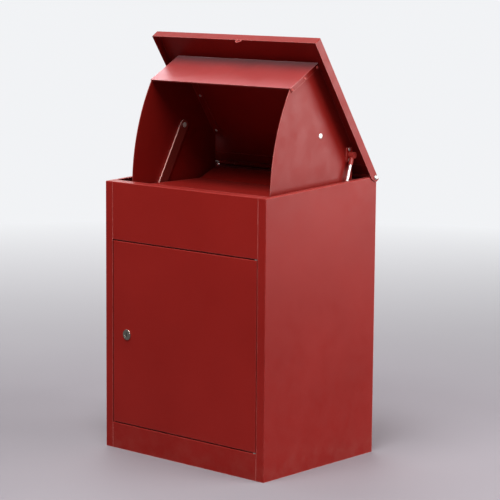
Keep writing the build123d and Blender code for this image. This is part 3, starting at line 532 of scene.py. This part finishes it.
# A pin with a head on each side goes through each hopper plate and its link arm.
pin_head, pin_rise, pin_shank, pin_grip = 0.0110, 0.0018, 0.0060, 0.0028
pin_inside = plate_inside - 0.0040
_, pin_y, pin_z = box_centre("link_arm_pins")
pin_spots = []
for side in (-1, 1):
    pin_spots.append(((side * plate_outside, pin_y, pin_z), (side, 0, 0)))
    pin_spots.append(((side * pin_inside, pin_y, pin_z), (-side, 0, 0)))
pin_sizes = sizes_of(pin_head, pin_rise, pin_shank, pin_grip)
fasteners("link_pin_set", "lid", "link_arm_pins", zinc_plate, pin_sizes, pin_spots)

# Three screws go through each side flange of the hood into its hopper plate.
hood_rear, hood_line, hood_length = 0.27931, math.radians(4.174), 0.09616
screw_rows = (0.0040, 0.0465, 0.0890)
flange_line = 0.0045
hood_turn = lid_rise + hood_line
hood_down = Vector((0, -math.sin(hood_turn), -math.cos(hood_turn)))
hood_out = Vector((0, -math.cos(hood_turn), math.sin(hood_turn)))
screw_spots = []
for side in (-1, 1):
    corner = Vector(on_lid(side * (plate_outside + sheet), hood_rear, lid_skin))
    for row in screw_rows:
        spot = corner + hood_down * (hood_length - row) - hood_out * flange_line
        screw_spots.append((spot, (side, 0, 0)))
screw_head, screw_rise, screw_shank, screw_grip = 0.0064, 0.0020, 0.0030, 0.0030
cross_length, cross_width = 0.0040, 0.0010
screw_sizes = sizes_of(screw_head, screw_rise, screw_shank, screw_grip, cross_length, cross_width)
fasteners("hood_screw_set", "lid", "hood_screws", red_coat, screw_sizes, screw_spots)

# ------------------------------------------------------------------ link arms
# Two flat bars with round ends, painted thinly and left bare where they were cut. Each
# hangs from a pin in its hopper plate and carries the free end of the flap, so that the
# flap drops as the lid closes.
arm_tones = (0.13, 0.016, 0.012), (0.20, 0.030, 0.024)
arm_bare = (0.78, 0.46, 0.42)
arm_steel, tree, shader, shine = two_tone(
    "link_arm_steel", arm_tones, (120.0, 4), 0.25, (0.32, 0.48), (500.0, 3)
)
arm_facing = tree.nodes.new("ShaderNodeSeparateXYZ")
tree.links.new(tree.nodes.new("ShaderNodeNewGeometry").outputs["True Normal"], arm_facing.inputs[0])
sideways = maths(tree, "ABSOLUTE", arm_facing.outputs["X"])
cut_edge = span(tree, sideways, 0.4, 0.9, 1.0, 0.0)
tree.links.new(blend_colour(tree, cut_edge, shine, arm_bare), shader.inputs["Base Color"])
dress(arm_steel, "left_link_arm", "right_link_arm")

# ------------------------------------------------------------------ gas strut
# A black-painted tube with a ground and chromed rod. Its moulded end fittings match the
# coat. Each end turns on a plain stud through a small painted bracket.
chrome_tones = (0.86, 0.85, 0.84), (0.92, 0.91, 0.90)
fitting_tones = (0.34, 0.040, 0.032), (0.42, 0.060, 0.050)
black_tones = (0.010, 0.010, 0.011), (0.020, 0.020, 0.021)
rod_chrome = two_tone("strut_chrome", chrome_tones, (900.0, 1), 0.55, (0.20, 0.30), (500.0, 2))[0]
end_fitting = two_tone("strut_end_fitting", fitting_tones, (300.0, 2), 0.0, (0.38, 0.38))[0]
tube_black = two_tone("strut_black", black_tones, (300.0, 2), 0.0, (0.28, 0.28))[0]
dress(rod_chrome, "strut_rod")
dress(tube_black, "strut_cylinder")
dress(end_fitting, "strut_gland", "strut_upper_socket", "strut_lower_socket")
dress(red_coat, "strut_upper_bracket", "strut_lower_bracket")
dress(zinc_plate, "strut_upper_stud", "strut_lower_stud")

# ------------------------------------------------------------------ hinge rods and door pivots
# Plain zinc-plated rods and pins: the lid's rod with its two domed heads, the flap's rod
# and its link studs, and the door's two pins with a washer each.
dress(zinc_plate, "lid_hinge_rod", "flap_hinge_rod", "flap_link_studs")
dress(zinc_plate, "door_pivot_pins", "door_pivot_washers")

# ------------------------------------------------------------------ cam lock
# A 22 mm nickel-plated cam lock: a turned body with a rolled rim, a plug with a plain key
# slot, and behind the door a hexagon nut, a cam and its screw.
nickel_tones = (0.70, 0.62, 0.54), (0.84, 0.77, 0.69)
lock_nickel = two_tone("lock_nickel", nickel_tones, (400.0, 3), 1.0, (0.16, 0.32), (900.0, 2))[0]


def turned(name, rings, centre, steps=64):
    """A closed ring turned about an axis along Y, from (radius, place along Y) in order."""
    shape = bmesh.new()
    loops = []
    for step in range(steps):
        angle = 2 * math.pi * step / steps
        side, rise = math.cos(angle), math.sin(angle)
        loop = []
        for radius, along in rings:
            spot = (centre[0] + radius * side, centre[1] + along, centre[2] + radius * rise)
            loop.append(shape.verts.new(spot))
        loops.append(loop)
    count = len(rings)
    for step in range(steps):
        here, there = loops[step], loops[(step + 1) % steps]
        for index in range(count):
            after = (index + 1) % count
            shape.faces.new((here[index], there[index], there[after], here[after]))
    mesh = bpy.data.meshes.new(name)
    shape.to_mesh(mesh)
    shape.free()
    tidy_mesh(mesh, 32.0)
    piece = bpy.data.objects.new(name, mesh)
    bpy.context.scene.collection.objects.link(piece)
    return piece


# From the bore's inner end, round the barrel and the rolled rim, and back to the bore.
lock_centre = (-0.1575, -0.171, 0.245)
lock_rings = [
    (0.00605, 0.0130), (0.0093, 0.0130), (0.0093, 0.0), (0.0108, 0.0), (0.0110, -0.0002),
    (0.0110, -0.0016), (0.01085, -0.0020), (0.0105, -0.0023), (0.0100, -0.0025), (0.0094, -0.0026),
    (0.0082, -0.0026), (0.0080, -0.0025), (0.0078, -0.0023), (0.0072, -0.0023), (0.0070, -0.0025),
    (0.0067, -0.0026), (0.0063, -0.0026), (0.00605, -0.0024),
]
lock_ring = turned("lock_turned_body", lock_rings, lock_centre)
lock_ring.data.materials.append(lock_nickel)
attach(lock_ring, "door")
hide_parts("lock_body")
small_pieces.objects.link(lock_ring)
dress(lock_nickel, "lock_plug")
dress(zinc_plate, "lock_nut", "lock_cam", "lock_cam_screw")
